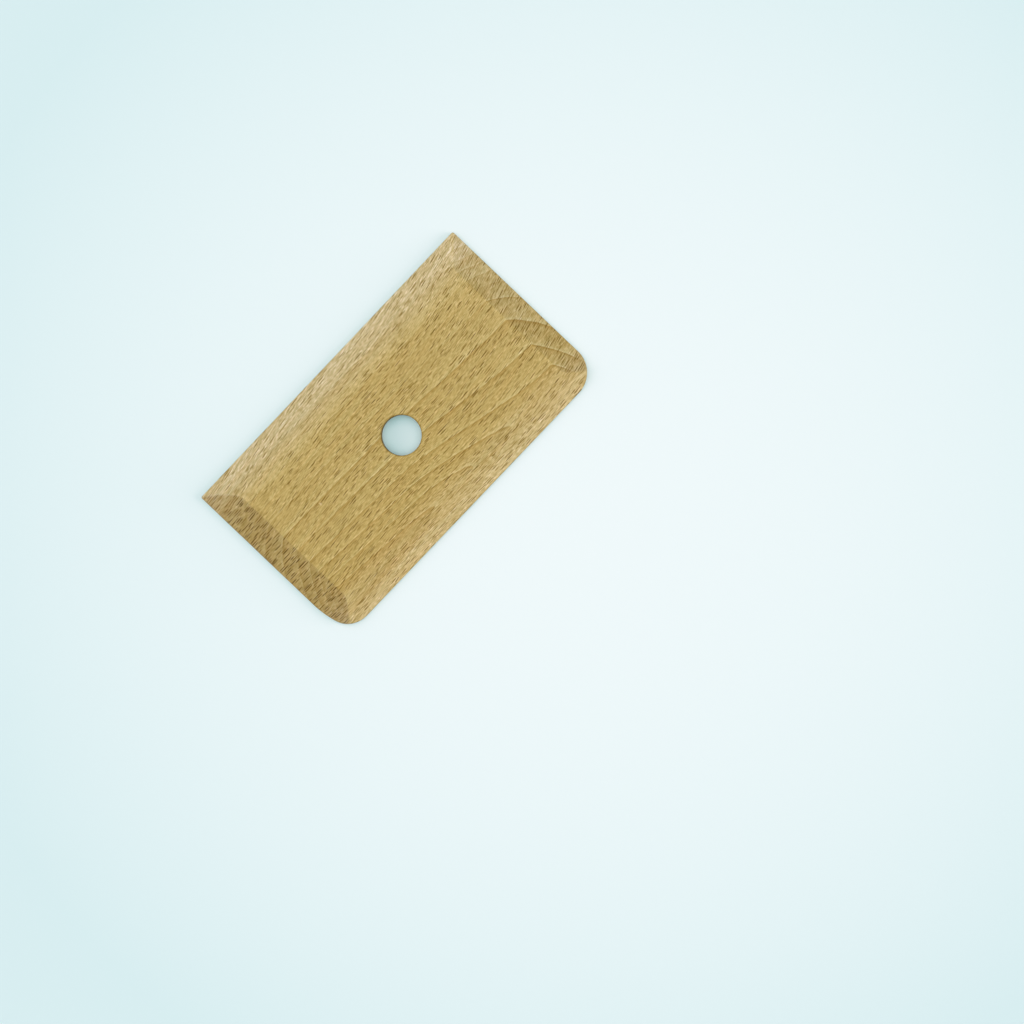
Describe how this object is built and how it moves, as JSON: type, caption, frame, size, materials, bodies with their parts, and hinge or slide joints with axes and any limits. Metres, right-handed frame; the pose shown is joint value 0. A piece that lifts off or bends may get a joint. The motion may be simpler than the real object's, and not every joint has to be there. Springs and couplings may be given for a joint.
{
  "type": "pottery rib",
  "caption": "Flat rectangular wooden pottery rib with square corners on one long edge, rounded corners on the other, a bevelled upper face and a round finger hole.",
  "frame": {"origin": "middle of the blade's outline, on its flat back face", "axes": "+X along the blade and its grain towards the right end, +Y towards the long edge with the two square corners, +Z out of the bevelled face"},
  "size_m": [0.1088, 0.06, 0.005],
  "materials": {
    "beech": "bare sanded beech, matt, grain along X"
  },
  "bodies": {
    "root": {"blade": "beech"}
  },
  "joints": []
}
